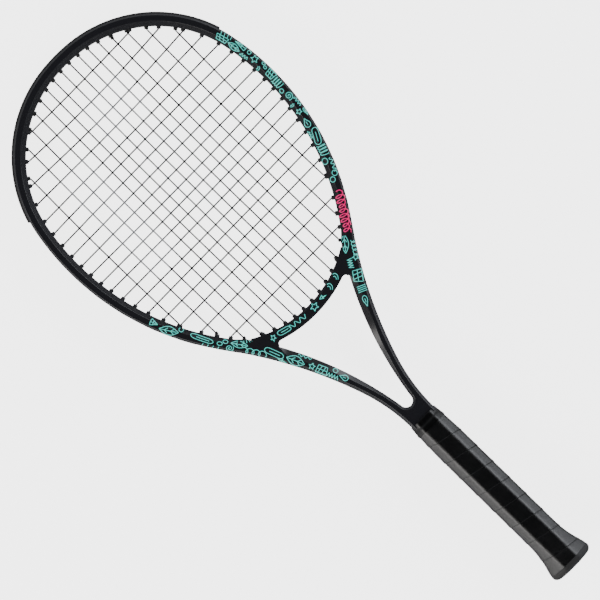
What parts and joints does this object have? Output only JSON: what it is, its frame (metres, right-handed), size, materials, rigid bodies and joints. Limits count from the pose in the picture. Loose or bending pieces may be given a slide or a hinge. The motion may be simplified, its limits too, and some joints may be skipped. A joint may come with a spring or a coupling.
{
  "type": "tennis racket",
  "caption": "Strung adult tennis racket with an oval head, open throat, octagonal wrapped handle and a trap door in the butt cap.",
  "frame": {"origin": "middle of the butt end's flat face", "axes": "+Y from the butt to the tip along the handle; +X across the head; +Z square to the strings, which lie in z = 0"},
  "size_m": [0.271, 0.6858, 0.0392],
  "materials": {
    "frame_lacquer": "satin lacquer over carbon composite",
    "bumper_nylon": "matte moulded nylon",
    "grommet_nylon": "matte moulded nylon",
    "string": "smooth extruded polyester",
    "pallet_foam": "moulded polyurethane foam",
    "mounting_tape": "woven double-sided tape",
    "plug_plastic": "matte",
    "cap_plastic": "matte moulded",
    "staple_steel": "bright wire",
    "grip": "embossed synthetic leather, perforated",
    "tape": "smooth vinyl"
  },
  "bodies": {
    "racket": {"frame": "frame_lacquer", "throat_bridge": "frame_lacquer", "bumper_guard": "bumper_nylon", "grommet_strip_left": "grommet_nylon", "grommet_strip_right": "grommet_nylon", "throat_grommet_strip": "grommet_nylon", "main_string": "string", "cross_string": "string", "main_string_knots": "string", "cross_string_knots": "string", "pallet_front": "pallet_foam", "pallet_back": "pallet_foam", "pallet_tapes": "mounting_tape", "tube_plug_left": "plug_plastic", "tube_plug_right": "plug_plastic", "butt_cap": "cap_plastic", "butt_cap_staples": "staple_steel", "grip_wrap": "grip", "grip_start_staple": "staple_steel", "finishing_tape": "tape"},
    "trap_door": {"butt_cap_door": "cap_plastic"}
  },
  "joints": [
    {"name": "trap_door_pull", "type": "slide", "parent": "racket", "child": "trap_door", "axis": [0, -1, 0], "range_m": [0, 0.02]}
  ]
}
